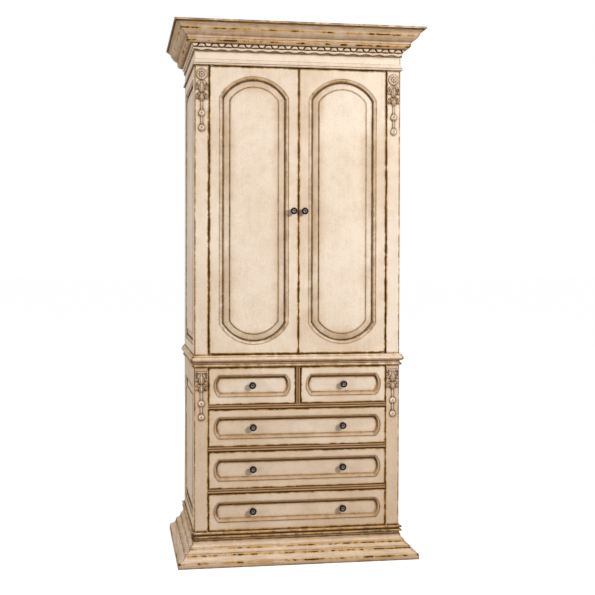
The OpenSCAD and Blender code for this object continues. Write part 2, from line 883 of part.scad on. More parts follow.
drawer_bottom(wide, 3);  // drawer_4_bottom
drawer_knobs(wide, 3, pair);  // drawer_4_knobs
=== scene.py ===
import math

import bmesh
import bpy
from mathutils import Matrix, Vector


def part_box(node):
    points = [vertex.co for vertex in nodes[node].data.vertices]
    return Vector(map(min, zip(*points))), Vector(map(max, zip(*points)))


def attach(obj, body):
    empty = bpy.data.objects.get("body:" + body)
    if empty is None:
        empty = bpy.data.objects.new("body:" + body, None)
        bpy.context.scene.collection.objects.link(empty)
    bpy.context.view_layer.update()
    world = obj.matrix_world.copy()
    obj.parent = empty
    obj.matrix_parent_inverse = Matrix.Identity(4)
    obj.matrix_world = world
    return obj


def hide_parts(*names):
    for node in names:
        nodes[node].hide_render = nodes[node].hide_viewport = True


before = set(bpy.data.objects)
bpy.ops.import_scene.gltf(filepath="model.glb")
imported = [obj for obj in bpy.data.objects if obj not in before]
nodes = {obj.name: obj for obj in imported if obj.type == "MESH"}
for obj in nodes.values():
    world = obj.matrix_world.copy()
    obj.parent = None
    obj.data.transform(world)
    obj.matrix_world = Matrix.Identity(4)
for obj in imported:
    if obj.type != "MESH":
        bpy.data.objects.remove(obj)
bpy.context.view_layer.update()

# ---------------------------------------------------------------------------
# The room. A pale floor under a plain studio sky, one large soft lamp high on the
# right in front, broad weak ones on the left and behind, and a camera at eye height.
# ---------------------------------------------------------------------------
scene = bpy.context.scene
scene.view_settings.view_transform = "Standard"
scene.view_settings.look = "None"

bpy.ops.object.select_all(action="DESELECT")
bpy.ops.mesh.primitive_plane_add(size=160, location=(0, 0, 0))
floor = bpy.context.object
floor.name = "floor"
floor_paint = bpy.data.materials.new("pale_floor")
floor_paint.use_nodes = True
floor_tree = floor_paint.node_tree
floor_shader = floor_tree.nodes["Principled BSDF"]
floor_shader.inputs["Base Color"].default_value = (0.30, 0.30, 0.30, 1)
floor_shader.inputs["Roughness"].default_value = 0.95
floor_shader.inputs["Specular IOR Level"].default_value = 0.0
floor_shader.inputs["Emission Color"].default_value = (1.0, 1.0, 1.0, 1)
floor_seen = floor_tree.nodes.new("ShaderNodeLightPath").outputs["Is Camera Ray"]
floor_glow = floor_tree.nodes.new("ShaderNodeMapRange")
floor_glow.inputs["To Max"].default_value = 0.88
floor_tree.links.new(floor_seen, floor_glow.inputs["Value"])
floor_tree.links.new(floor_glow.outputs["Result"], floor_shader.inputs["Emission Strength"])
floor.data.materials.append(floor_paint)

room = bpy.data.worlds.new("room")
room.use_nodes = True
walls = room.node_tree
seen = walls.nodes.new("ShaderNodeLightPath").outputs["Is Camera Ray"]
strength = walls.nodes.new("ShaderNodeMapRange")
strength.inputs["To Min"].default_value = 0.38
strength.inputs["To Max"].default_value = 1.0
walls.links.new(seen, strength.inputs["Value"])
walls.nodes["Background"].inputs["Color"].default_value = (1.0, 1.0, 1.0, 1)
walls.links.new(strength.outputs["Result"], walls.nodes["Background"].inputs["Strength"])
scene.world = room

for lamp_name, power, size, place in (
    ("key_lamp", 244, 1.1, (3.1, -4.3, 3.2)),
    ("fill_lamp", 128, 3.0, (-4.6, -1.7, 1.5)),
    ("back_lamp", 110, 2.5, (0.9, 5.2, 2.6)),
):
    light = bpy.data.lights.new(lamp_name, "AREA")
    light.shape = "DISK"
    light.size = size
    light.energy = power
    light.color = (1.0, 0.985, 0.965)
    lamp = bpy.data.objects.new(lamp_name, light)
    scene.collection.objects.link(lamp)
    lamp.location = place
    lamp.rotation_euler = (Vector((0, -0.25, 1.3)) - lamp.location).to_track_quat("-Z", "Y").to_euler()
    lamp.visible_camera = False

eye = Vector((-0.83115, -4.60031, 1.37134))
turn, lift, roll = math.radians(-8.43246), math.radians(-0.74967), math.radians(0.12433)
ahead = Vector((-math.sin(turn) * math.cos(lift), math.cos(turn) * math.cos(lift), math.sin(lift)))
level = Vector((math.cos(turn), math.sin(turn), 0.0))
upward = level.cross(ahead)
right_side = math.cos(roll) * level + math.sin(roll) * upward
top_side = -math.sin(roll) * level + math.cos(roll) * upward
lens = bpy.data.cameras.new("camera")
lens.lens = 58.43319
lens.shift_x = 0.066
lens.shift_y = -0.04
camera = bpy.data.objects.new("camera", lens)
scene.collection.objects.link(camera)
camera.matrix_world = Matrix.Translation(eye) @ Matrix((right_side, top_side, -ahead)).transposed().to_4x4()
scene.camera = camera


# ---------------------------------------------------------------------------
# Bare wood inside: the plinth frame, drawer runners, drawer boxes, hat shelf
# and its cleats. Planed hardwood with a thin coat of sealer, glued and screwed.
# ---------------------------------------------------------------------------
def link(tree, source, target):
    tree.links.new(source, target)


def put_in(tree, value, socket):
    """A plain value is set on the socket, and anything else is linked to it."""
    if isinstance(value, (int, float, tuple)):
        socket.default_value = value
    elif value is not None:
        link(tree, value, socket)


def maths(tree, operation, first, second=None, clamp=False):
    step = tree.nodes.new("ShaderNodeMath")
    step.operation = operation
    step.use_clamp = clamp
    put_in(tree, first, step.inputs[0])
    put_in(tree, second, step.inputs[1])
    return step.outputs[0]


def noise(tree, vector, scale, detail=3.0, rough=0.55):
    step = tree.nodes.new("ShaderNodeTexNoise")
    step.inputs["Scale"].default_value = scale
    step.inputs["Detail"].default_value = detail
    step.inputs["Roughness"].default_value = rough
    link(tree, vector, step.inputs["Vector"])
    return step.outputs["Fac"]


def blend(tree, factor, under, over):
    step = tree.nodes.new("ShaderNodeMix")
    step.data_type = "RGBA"
    for slot, value in (("Factor", factor), ("A", under), ("B", over)):
        put_in(tree, value, step.inputs[slot])
    return step.outputs["Result"]


def stretch_out(tree, vector, way):
    step = tree.nodes.new("ShaderNodeVectorMath")
    step.operation = "MULTIPLY"
    link(tree, vector, step.inputs[0])
    put_in(tree, way, step.inputs[1])
    return step.outputs[0]


def new_paint(name):
    made = bpy.data.materials.new(name)
    made.use_nodes = True
    return made, made.node_tree, made.node_tree.nodes["Principled BSDF"]


def raise_grain(tree, shader, height, strength, distance):
    bump = tree.nodes.new("ShaderNodeBump")
    bump.inputs["Strength"].default_value = strength
    bump.inputs["Distance"].default_value = distance
    link(tree, height, bump.inputs["Height"])
    link(tree, bump.outputs["Normal"], shader.inputs["Normal"])


def new_group(name, wanted, given):
    group = bpy.data.node_groups.new(name, "ShaderNodeTree")
    for label, kind, value in wanted:
        made = group.interface.new_socket(label, in_out="INPUT", socket_type=f"NodeSocket{kind}")
        made.default_value = value
    for label, kind in given:
        group.interface.new_socket(label, in_out="OUTPUT", socket_type=f"NodeSocket{kind}")
    return group, group.nodes.new("NodeGroupInput"), group.nodes.new("NodeGroupOutput")


def wood_grain_group():
    group, enter, leave = new_group(
        "wood_grain",
        (("Along", "Vector", (1.0, 1.0, 1.0)), ("Ring Contrast", "Float", 0.6)),
        (("Ring", "Float"), ("Pore", "Float")),
    )
    place = group.nodes.new("ShaderNodeTexCoord").outputs["Object"]
    along = stretch_out(group, place, enter.outputs["Along"])
    rings = group.nodes.new("ShaderNodeTexWave")
    for label, value in (("Scale", 0.9), ("Distortion", 5.0), ("Detail", 3.0), ("Detail Scale", 0.6)):
        rings.inputs[label].default_value = value
    link(group, along, rings.inputs["Vector"])
    ring = maths(group, "MULTIPLY", rings.outputs["Fac"], enter.outputs["Ring Contrast"])
    link(group, ring, leave.inputs["Ring"])
    link(group, noise(group, along, 9.0, 6.0, 0.7), leave.inputs["Pore"])
    return group


wood_grain = wood_grain_group()


def plain_wood(name, light, dark, along, rough):
    """Sealed wood: growth rings from light to dark, with darker pores along the grain."""
    made, tree, shader = new_paint(name)
    grain = tree.nodes.new("ShaderNodeGroup")
    grain.node_tree = wood_grain
    grain.inputs["Along"].default_value = along
    tone = blend(tree, grain.outputs["Ring"], (*light, 1), (*dark, 1))
    speckle = tree.nodes.new("ShaderNodeMapRange")
    for label, value in (("From Min", 0.35), ("From Max", 0.75), ("To Min", 0.72), ("To Max", 1.08)):
        speckle.inputs[label].default_value = value
    link(tree, grain.outputs["Pore"], speckle.inputs["Value"])
    shade = tree.nodes.new("ShaderNodeVectorMath")
    shade.operation = "SCALE"
    link(tree, tone, shade.inputs[0])
    link(tree, speckle.outputs["Result"], shade.inputs["Scale"])
    link(tree, shade.outputs[0], shader.inputs["Base Color"])
    shader.inputs["Roughness"].default_value = rough
    raise_grain(tree, shader, grain.outputs["Pore"], 0.25, 0.0006)
    return made


def dress(paint, *names):
    for name in names:
        mesh = nodes[name].data
        mesh.materials.clear()
        mesh.materials.append(paint)


grain_x, grain_y = (1.2, 22.0, 22.0), (22.0, 1.2, 22.0)
dress(
    plain_wood("poplar_across", (0.56, 0.39, 0.22), (0.40, 0.25, 0.12), grain_x, 0.55),
    "plinth_frame", "hat_shelf",
)
dress(
    plain_wood("poplar_deep", (0.53, 0.37, 0.21), (0.38, 0.24, 0.12), grain_y, 0.55),
    "drawer_runners", "shelf_cleats",
)
drawer_wood = plain_wood("drawer_side_wood", (0.60, 0.43, 0.25), (0.44, 0.29, 0.15), grain_y, 0.5)
drawers = ["top_left", "top_right", "2", "3", "4"]
dress(drawer_wood, *[f"drawer_{name}_box" for name in drawers])

# ---------------------------------------------------------------------------
# Plywood: the backs, the boards in both cases, the dust cover and the drawer
# bottoms. Veneered with broad figure, sealed, and let into rebates and grooves.
# ---------------------------------------------------------------------------
dress(
    plain_wood("birch_ply_upright", (0.60, 0.44, 0.27), (0.49, 0.34, 0.19), (2.6, 9.0, 0.45), 0.6),
    "lower_back", "upper_back",
)
dress(
    plain_wood("birch_ply_flat", (0.60, 0.44, 0.27), (0.48, 0.33, 0.18), (0.9, 9.0, 9.0), 0.6),
    "lower_bottom_board", "deck_board", "upper_bottom_board", "upper_top_board", "crown_dust_cover",
    *[f"drawer_{name}_bottom" for name in drawers],
)


# ---------------------------------------------------------------------------
# The pilasters at the front corners of both cases, glued to the side frames. Their
# cream paint, used on the whole outside, is rubbed through to ochre on the edges and
# lies under an umber glaze left in every corner, quirk and brush mark. In corners, on
# slopes that face down and under what faces down, that glaze is laid on darker as
# painted shade, and what faces up carries less of it as a painted highlight.
# ---------------------------------------------------------------------------
def total(tree, *values):
    result = values[0]
    for value in values[1:]:
        result = maths(tree, "ADD", result, value)
    return result


def product(tree, *values):
    result = values[0]
    for value in values[1:]:
        result = maths(tree, "MULTIPLY", result, value)
    return result


def absolute(tree, value):
    return maths(tree, "ABSOLUTE", value)


def difference(tree, first, second):
    return maths(tree, "SUBTRACT", first, second)


def ramp(tree, value, low, high, bottom=0.0, top=1.0):
    """Goes softly from bottom to top as the value goes from low to high."""
    step = tree.nodes.new("ShaderNodeMapRange")
    step.interpolation_type = "SMOOTHSTEP"
    for label, number in (("From Min", low), ("From Max", high), ("To Min", bottom), ("To Max", top)):
        step.inputs[label].default_value = number
    link(tree, value, step.inputs["Value"])
    return step.outputs["Result"]


def split_up(tree, vector, kind="XYZ"):
    step = tree.nodes.new(f"ShaderNodeSeparate{kind}")
    link(tree, vector, step.inputs[0])
    return step.outputs


def alike(tree, first, second):
    step = tree.nodes.new("ShaderNodeVectorMath")
    step.operation = "DOT_PRODUCT"
    link(tree, first, step.inputs[0])
    link(tree, second, step.inputs[1])
    return step.outputs["Value"]


def closeness(tree, distance, inside=False):
    """From 0 in the open to 1 deep in a corner, or beside an edge when it looks into the wood."""
    look = tree.nodes.new("ShaderNodeAmbientOcclusion")
    look.samples = 8
    look.inside = inside
    link(tree, distance, look.inputs["Distance"])
    return difference(tree, 1.0, look.outputs["AO"])


def lean_of(tree, radius):
    """How far a normal rounded over the radius leans away from the flat one: above 0 beside an edge."""
    rounded = tree.nodes.new("ShaderNodeBevel")
    rounded.samples = 4
    link(tree, radius, rounded.inputs["Radius"])
    flat = tree.nodes.new("ShaderNodeNewGeometry").outputs["Normal"]
    return difference(tree, 1.0, alike(tree, rounded.outputs["Normal"], flat))


far = 9.0  # metres, past every edge of the armoire
# one layer of glaze lets these through; the painted shade in corners, on slopes and underneath takes the same
# tint
glaze_lets_through = (0.60, 0.49, 0.37)  # red, green and blue, for one full layer


def aged_paint_group():
    group, enter, leave = new_group("aged_paint", (
        ("Paint", "Color", (0.83, 0.70, 0.572, 1)),
        ("Ochre", "Color", (0.55, 0.30, 0.080, 1)),
        ("Chip", "Color", (0.030, 0.013, 0.004, 1)),
        ("Streak Way", "Vector", (60.0, 60.0, 3.0)),
        ("Side Streak Way", "Vector", (60.0, 60.0, 3.0)),
        ("Streak Depth", "Float", 0.16),
        ("Flat Way", "Vector", (0.0, 1.0, 0.0)),
        ("Glaze On Slopes", "Float", 0.0),
        ("Glaze All Over", "Float", 0.0),
        ("Glaze In Corners", "Float", 1.0),
        ("Glaze Underneath", "Float", 1.1),
        ("Glaze On Lines", "Float", 0.0),
        ("Glaze Round The Rim", "Float", 0.0),
        ("Corner Depth", "Float", 0.016),
        ("Edge Width", "Float", 0.014),
        ("Wear", "Float", 0.9),
        ("Flecks", "Float", 0.5),
        ("Rim Low", "Vector", (-far, -far, -far)),
        ("Rim High", "Vector", (far, far, far)),
        ("Worn Heights", "Vector", (-far, -far, -far)),
    ), (("Color", "Color"), ("Roughness", "Float"), ("Height", "Float")))
    add = group.nodes.new
    given = enter.outputs
    own = add("ShaderNodeTexCoord")
    place, own_normal = own.outputs["Object"], own.outputs["Normal"]
    facing = split_up(group, own_normal)

    broad = noise(group, place, 3.2, 3.0)
    patchy = noise(group, place, 30.0, 4.0, 0.62)
    fine = noise(group, place, 190.0, 3.0, 0.6)
    sideways = maths(group, "GREATER_THAN", absolute(group, facing["X"]), absolute(group, facing["Y"]))
    way = add("ShaderNodeMix")
    way.data_type = "VECTOR"
    for slot, value in (("Factor", sideways), ("A", given["Streak Way"]), ("B", given["Side Streak Way"])):
        link(group, value, way.inputs[slot])
    streak = noise(group, stretch_out(group, place, way.outputs["Result"]), 2.2, 6.0, 0.7)

    # how far this spot lies from the outer edges of its piece
    spot, low, high = (split_up(group, value) for value in (place, given["Rim Low"], given["Rim High"]))
    nearest = None
    for axis in "XYZ":
        here = absolute(group, spot[axis]) if axis == "X" else spot[axis]
        for inset in (difference(group, here, low[axis]), difference(group, high[axis], here)):
            nearest = inset if nearest is None else maths(group, "MINIMUM", nearest, inset)

    # glaze collects in every corner and on slopes; in the corners, on slopes that face down and most of all
    # under what faces down it is laid on darker as painted shade
    near = closeness(group, given["Corner Depth"])
    flatness = absolute(group, alike(group, own_normal, given["Flat Way"]))
    slope = ramp(group, flatness, 0.965, 0.80)
    lean = lean_of(group, product(group, given["Edge Width"], 0.65))
    down_slope = ramp(group, facing["Z"], -0.4, 0.5, 1.7, 0.2)
    pooled = product(
        group,
        total(
            group,
            product(group, ramp(group, near, 0.03, 0.40), given["Glaze In Corners"], 1.5),
            product(group, ramp(group, near, 0.30, 0.70), given["Glaze In Corners"], 4.0),
            product(group, ramp(group, facing["Z"], -0.03, -0.36), given["Glaze Underneath"]),
            product(group, ramp(group, lean, 0.0005, 0.007), given["Glaze On Lines"]),
            product(group, slope, given["Glaze On Slopes"], down_slope),
        ),
        ramp(group, patchy, 0.25, 0.75, 0.55, 1.3),
    )

    # what the rag left: an uneven film, brush marks, and a darker tone towards the rim; the film is thinned
    # on what faces up as a painted highlight
    wiped_off_tops = ramp(group, facing["Z"], 0.15, 0.8, 1.0, 0.35)
    rim_tone = product(group, ramp(group, nearest, 0.085, 0.01), ramp(group, broad, 0.38, 0.60, 0.3, 1.3))
    wiped = total(
        group,
        ramp(group, broad, 0.3, 0.7, -0.06, 0.16),
        product(group, ramp(group, streak, 0.45, 0.80), given["Streak Depth"]),
        ramp(group, fine, 0.3, 0.7, -0.09, 0.10),
        ramp(group, patchy, 0.42, 0.72, 0.0, 0.12),
        product(group, given["Glaze All Over"], wiped_off_tops),
        product(group, given["Glaze Round The Rim"], rim_tone),
    )
    thick = maths(group, "MAXIMUM", total(group, pooled, wiped), 0.0)
    paint, glazed = split_up(group, given["Paint"], "Color"), add("ShaderNodeCombineColor")
    for channel, clear in enumerate(glaze_lets_through):
        kept = product(group, paint[channel], maths(group, "POWER", clear, thick))
        link(group, kept, glazed.inputs[channel])
    colour = glazed.outputs[0]

    # edges rubbed through to ochre, and chipped to the dark wood where they were rubbed hardest
    edge = product(
        group, closeness(group, given["Edge Width"], inside=True), ramp(group, lean, 0.0004, 0.004),
    )
    rim = product(group, ramp(group, nearest, 0.009, -0.003, 0.0, 0.62), ramp(group, flatness, 0.8, 0.95))
    edge = maths(group, "MAXIMUM", edge, rim)
    handled = total(group, product(group, patchy, 0.5), product(group, broad, 0.5))
    here_and_there = ramp(group, handled, 0.43, 0.56, 0.35, 1.05)
    standing = ramp(group, absolute(group, facing["Z"]), 0.92, 0.80)
    for height in split_up(group, given["Worn Heights"])[:]:
        away = absolute(group, difference(group, spot["Z"], height))
        line = product(group, ramp(group, away, 0.0062, 0.0, 0.0, 0.47), here_and_there, standing)
        edge = maths(group, "MAXIMUM", edge, line)
    rubbed = total(
        group, product(group, patchy, 0.60), product(group, broad, 0.20), product(group, fine, 0.20),
    )
    past = difference(group, edge, ramp(group, rubbed, 0.37, 0.52, 0.42, 0.03))
    worn = maths(group, "MULTIPLY", ramp(group, past, 0.0, 0.04), given["Wear"], clamp=True)
    colour = blend(group, worn, colour, given["Ochre"])
    knocked = total(
        group, product(group, streak, 0.25), product(group, fine, 0.30), product(group, patchy, 0.45),
    )
    past = difference(group, edge, ramp(group, knocked, 0.42, 0.59, 0.52, 0.18))
    chips = maths(group, "MULTIPLY", ramp(group, past, 0.0, 0.04), given["Wear"], clamp=True)
    colour = blend(group, chips, colour, given["Chip"])

    # a few fine flecks of thrown glaze
    cells = add("ShaderNodeTexVoronoi")
    cells.inputs["Scale"].default_value = 34.0
    link(group, place, cells.inputs["Vector"])
    dots = ramp(group, cells.outputs["Distance"], 0.045, 0.03)
    some = maths(group, "LESS_THAN", split_up(group, cells.outputs["Color"], "Color")[0], 0.12)
    dots = maths(group, "MULTIPLY", product(group, dots, some), given["Flecks"], clamp=True)
    colour = blend(group, dots, colour, given["Chip"])

    link(group, colour, leave.inputs["Color"])
    link(group, ramp(group, streak, 0.3, 0.7, 0.42, 0.56), leave.inputs["Roughness"])
    link(group, difference(group, product(group, streak, 0.35), chips), leave.inputs["Height"])
    return group


aged_paint = aged_paint_group()
upright, across, deepwise = (60.0, 60.0, 3.0), (3.0, 60.0, 60.0), (60.0, 3.0, 60.0)


def painted(name, way, **values):
    """Aged paint brushed along one way, with painted shade in its corners, on slopes and underneath, a
    painted highlight on what faces up, and the values that this piece has of its own.
    """
    made, tree, shader = new_paint(name)
    coat = tree.nodes.new("ShaderNodeGroup")
    coat.node_tree = aged_paint
    coat.inputs["Streak Way"].default_value = way
    coat.inputs["Side Streak Way"].default_value = way
    for label, value in values.items():
        coat.inputs[label.replace("_", " ").title()].default_value = value
    link(tree, coat.outputs["Color"], shader.inputs["Base Color"])
    link(tree, coat.outputs["Roughness"], shader.inputs["Roughness"])
    shader.inputs["Specular IOR Level"].default_value = 0.35
    raise_grain(tree, shader, coat.outputs["Height"], 0.35, 0.0008)
    return made


def rim_of(node, axes=(0, 2), inner=-far):
    """The outer edges of a flat piece, counted outward from the middle of the armoire."""
    low, high = [-far, -far, -far], [far, far, far]
    for axis in axes:
        low[axis], high[axis] = (corner[axis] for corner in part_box(node))
    if 0 in axes:
        both_sides = low[0] < 0 < high[0]
        low[0], high[0] = (inner, high[0]) if both_sides else sorted((abs(low[0]), abs(high[0])))
    return {"rim_low": low, "rim_high": high}


post_way = {
    "glaze_in_corners": 3.4, "corner_depth": 0.013,
    **rim_of("lower_pilasters", (0,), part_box("lower_rails")[1].x),
}
dress(painted("cream_post", upright, glaze_all_over=0.05, **post_way), "upper_pilasters")
dress(painted("tan_post", upright, glaze_all_over=0.45, **post_way), "lower_pilasters")

# ---------------------------------------------------------------------------
# The sides of both cases: stiles and rails tenoned together, with one raised panel
# loose in their groove. The lower pair is glazed darker than the upper.
# ---------------------------------------------------------------------------
side_way = {"flat_way": (1.0, 0.0, 0.0), "glaze_on_slopes": 1.0, "wear": 1.0}
side_panel_way = {"edge_width": 0.005, "glaze_in_corners": 2.0, **side_way}
side_way.update(rim_of("upper_side_frames", (1,)))
dress(painted("cream_side", upright, **side_way), "upper_side_frames")
dress(painted("tan_side", upright, glaze_all_over=0.25, **side_way), "lower_side_frames")
dress(painted("cream_side_panel", upright, **side_panel_way), "upper_side_panels")
dress(painted("tan_side_panel", upright, glaze_all_over=0.15, **side_panel_way), "lower_side_panels")

# ---------------------------------------------------------------------------
# The doors: a frame of stiles and rails whose opening ends in an arch above and
# below, and a raised panel in its groove. The panel is toned dark round its edge.
# ---------------------------------------------------------------------------
frame_way = {
    "glaze_on_slopes": 1.2, "glaze_in_corners": 1.8, "corner_depth": 0.010,
    "glaze_on_lines": 0.5, "glaze_round_the_rim": 0.10,
}
# the right frame carries a little more glaze than the left, as painted shade that evens out the lamp light
# falling stronger on the right
for side, glaze in (("left", 0.0), ("right", 0.08)):
    node = f"door_{side}_frame"
    dress(painted(f"cream_frame_{side}", upright, glaze_all_over=glaze, **frame_way, **rim_of(node)), node)
dress(painted(
    "cream_panel", upright, glaze_on_slopes=1.2, glaze_in_corners=3.2, glaze_on_lines=2.2,
    glaze_round_the_rim=0.42, corner_depth=0.008, edge_width=0.013, **rim_of("door_left_panel"),
), "door_left_panel", "door_right_panel")

# ---------------------------------------------------------------------------
# The drawer fronts: boards with a sunk field, rounded at both ends. The glaze lies
# thick under the upper edge of the field, darkened there as painted shade, and the lower drawers are darker.
# ---------------------------------------------------------------------------
front_way = {
    "glaze_on_slopes": 2.4, "glaze_in_corners": 1.9, "glaze_on_lines": 1.6,
    "glaze_round_the_rim": 0.12, "glaze_underneath": 2.4,
}
for name, glaze in zip(drawers, (0.10, 0.10, 0.26, 0.38, 0.32)):
    node = f"drawer_{name}_front"
    dress(painted(f"tan_front_{name}", across, glaze_all_over=glaze, **front_way, **rim_of(node)), node)

# ---------------------------------------------------------------------------
# The rails between the drawers and the stile between the two small ones, each run
# with two reeds along its face, and so dark with glaze and with painted shade for the gaps between the
# drawers that they read as lines.
# ---------------------------------------------------------------------------
reed_way = {"glaze_all_over": 1.6, "streak_depth": 1.2, "wear": 0.5, "edge_width": 0.005}
dress(painted("reed_across", across, **reed_way), "lower_rails")
dress(painted("reed_upright", upright, **reed_way), "drawer_centre_stile")

# ---------------------------------------------------------------------------
# The frieze: a plain board over the doors, with a bead planted on it under the
# crown, mitred round the front and both sides.
# ---------------------------------------------------------------------------
dress(painted("cream_across", across, side_streak_way=deepwise), "frieze_board")
dress(painted(
    "cream_bead", across, side_streak_way=deepwise, glaze_in_corners=1.8, edge_width=0.002,
), "frieze_bead")

# ---------------------------------------------------------------------------
# The mouldings: plinth, waist and crown, run in lengths and mitred at the
# corners. They carry the most glaze, laid darkest in their hollows and under their overhangs as painted
# shade, and are rubbed hardest on every arris.
# ---------------------------------------------------------------------------
length_way = {"side_streak_way": deepwise, "streak_depth": 1.1, "wear": 1.0, "edge_width": 0.008}
for name, arrises, values in (
    ("plinth", (0.121, 0.095, 0.070), {"glaze_all_over": 0.70, "corner_depth": 0.012}),
    ("waist", (0.0, far, far), {"glaze_all_over": 0.18, "corner_depth": 0.010}),
    ("crown", (0.0, 0.036, 0.082), {"glaze_all_over": 0.33, "glaze_underneath": 0.42, "corner_depth": 0.030}),
):
    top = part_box(f"{name}_moulding")[1].z
    worn_heights = [top - below for below in arrises]
    length_paint = painted(f"{name}_length", across, worn_heights=worn_heights, **values, **length_way)
    dress(length_paint, f"{name}_moulding")

# ---------------------------------------------------------------------------
# The carved rope under the crown: three lengths of pine cut with plump lobes, a
# small half-disc in every notch and one long roll below them. They are mitred at
# the corners and nailed up under the crown.
# ---------------------------------------------------------------------------
weld = 0.00002  # corners nearer than this become one
nearly = 0.0001  # room for rounding where a corner is picked by its place


def start_piece(kind, **sizes):
    bpy.ops.object.select_all(action="DESELECT")
    getattr(bpy.ops.mesh, f"primitive_{kind}_add")(**sizes)
    bpy.ops.object.transform_apply(location=True, rotation=True, scale=True)
    bpy.ops.object.mode_set(mode="EDIT")
    return bpy.context.object


def choose(piece, part, test):
    bpy.ops.mesh.select_mode(type={"verts": "VERT", "faces": "FACE"}[part])
    bpy.ops.mesh.select_all(action="DESELECT")
    shape = bmesh.from_edit_mesh(piece.data)
    for one in getattr(shape, part):
        corners = [one.co] if part == "verts" else [corner.co for corner in one.verts]
        one.select_set(all(test(corner) for corner in corners))
    shape.select_flush_mode()
    bmesh.update_edit_mesh(piece.data)


def shift_all(way):
    bpy.ops.mesh.select_all(action="SELECT")
    bpy.ops.transform.translate(value=way)


def resize(value, middle=(0, 0, 0)):
    bpy.ops.transform.resize(value=value, center_override=middle)


def cut(where, outward, fill=True, drop=True):
    bpy.ops.mesh.select_all(action="SELECT")
    bpy.ops.mesh.bisect(plane_co=where, plane_no=outward, use_fill=fill, clear_outer=drop)


def mark(where, across_it):
    """A line of edges cut right round, which takes nothing away."""
    cut(where, across_it, fill=False, drop=False)


def open_ends(piece, long):
    for end in (-1, 1):
        choose(piece, "faces", lambda co: co.x * end > long / 2 - nearly)
        bpy.ops.mesh.delete(type="ONLY_FACE")


def flatten_back():
    cut((0, 0, 0), (0, 1, 0))


def weld_up(piece):
    bpy.ops.mesh.select_all(action="SELECT")
    bpy.ops.mesh.remove_doubles(threshold=weld)


def done(piece, angle=40):
    weld_up(piece)
    bpy.ops.mesh.normals_make_consistent(inside=False)
    bpy.ops.object.mode_set(mode="OBJECT")
    bpy.ops.object.select_all(action="DESELECT")
    piece.select_set(True)
    bpy.context.view_layer.objects.active = piece
    bpy.ops.object.shade_smooth_by_angle(angle=math.radians(angle))
    return piece


def copy_to(piece, place):
    made = piece.copy()
    made.data = piece.data.copy()
    scene.collection.objects.link(made)
    made.data.transform(place)
    return made


def join_up(parts):
    bpy.ops.object.select_all(action="DESELECT")
    for part in parts:
        part.select_set(True)
    bpy.context.view_layer.objects.active = parts[0]
    bpy.ops.object.join()
    return parts[0]


rope_low, rope_high = (Vector(corner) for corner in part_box("rope_moulding"))
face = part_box("upper_pilasters")[0][1]
rope_out = face - rope_low.y
rope_tall = rope_high.z - rope_low.z
case_half = rope_high.x - rope_out
link_long = 0.0608
disc_radius, disc_deep, disc_round = 0.0135, 0.0135, 0.003
lobe_deep, notch_gap = 0.0140, 0.0028
lobe_rings, roll_rings = 7, 12

# one lobe, plump in the middle, its sides cut back round the half-discs
lobe = start_piece("cylinder", vertices=20, radius=1, depth=lobe_deep)
for ring in range(1, lobe_rings):
    mark((0, 0, lobe_deep * (ring / lobe_rings - 0.5)), (0, 0, 1))
for ring in range(lobe_rings + 1):
    down = lobe_deep * (1 - ring / lobe_rings)
    half = link_long / 2 - math.sqrt((disc_radius + notch_gap) ** 2 - down ** 2)
    plump = 0.0045 + 0.0085 * math.sin(math.pi * (0.30 + 0.66 * down / lobe_deep)) ** 0.7
    choose(lobe, "verts", lambda co: abs(co.z - lobe_deep / 2 + down) < nearly)
    resize((half, plump, 1))
shift_all((0, 0, rope_tall - lobe_deep / 2))
flatten_back()
done(lobe, 50)

# one half-disc, round-edged, hanging in the notch between two lobes
disc = start_piece("cylinder", vertices=24, radius=disc_radius, depth=disc_deep, rotation=(math.pi / 2, 0, 0))
choose(disc, "faces", lambda co: co.y < nearly - disc_deep / 2)
bpy.ops.mesh.bevel(offset=disc_round, segments=3, affect="EDGES")
shift_all((link_long / 2, -disc_deep / 2, rope_tall))
cut((0, 0, rope_tall), (0, 0, 1))
done(disc)

# one length of the lower roll, fat below the lobe and drawn up below the half-disc
roll = start_piece("cylinder", vertices=16, radius=0.0067, depth=link_long, rotation=(0, math.pi / 2, 0))
open_ends(roll, link_long)
for ring in range(1, roll_rings):
    mark((link_long * (ring / roll_rings - 0.5), 0, 0), (1, 0, 0))
for ring in range(roll_rings + 1):
    ring_x = link_long * (ring / roll_rings - 0.5)
    swell = math.cos(2 * math.pi * ring_x / link_long)
    choose(roll, "verts", lambda co: abs(co.x - ring_x) < 2 * nearly)
    resize((1, 1.3 + 0.12 * swell, 1 + 0.24 * swell), (ring_x, 0, 0))
    bpy.ops.transform.translate(value=(0, 0, 0.0107 - 0.0019 * swell))
cut((0, 0, 0), (0, 1, 0), fill=False)
done(roll)

# the ground behind the carving, thick along its foot and gouged out there under each half-disc
ground_thick, foot_thick, foot_tall = 0.002, 0.004, 0.012
gouge_low, gouge_high, gouge_half, gouge_deep = 0.0006, 0.0080, 0.0095, 0.0052
ground = start_piece("cube", size=1)
resize((link_long, ground_thick, rope_tall))
shift_all((0, -ground_thick / 2, rope_tall / 2))
mark((0, 0, foot_tall), (0, 0, 1))
choose(ground, "faces", lambda co: co.y < nearly - ground_thick and co.z < foot_tall + nearly)
bpy.ops.mesh.extrude_region_move(TRANSFORM_OT_translate={"value": (0, -foot_thick, 0)})
for height in (gouge_low, gouge_high):
    mark((0, 0, height), (0, 0, 1))
for end in (-1, 1):
    mark((end * (link_long / 2 - gouge_half), 0, 0), (1, 0, 0))
choose(ground, "faces", lambda co: (
    co.y < nearly - ground_thick - foot_thick
    and gouge_low - nearly < co.z < gouge_high + nearly
    and abs(co.x) > link_long / 2 - gouge_half - nearly
))
bpy.ops.mesh.extrude_region_move(TRANSFORM_OT_translate={"value": (0, gouge_deep, 0)})
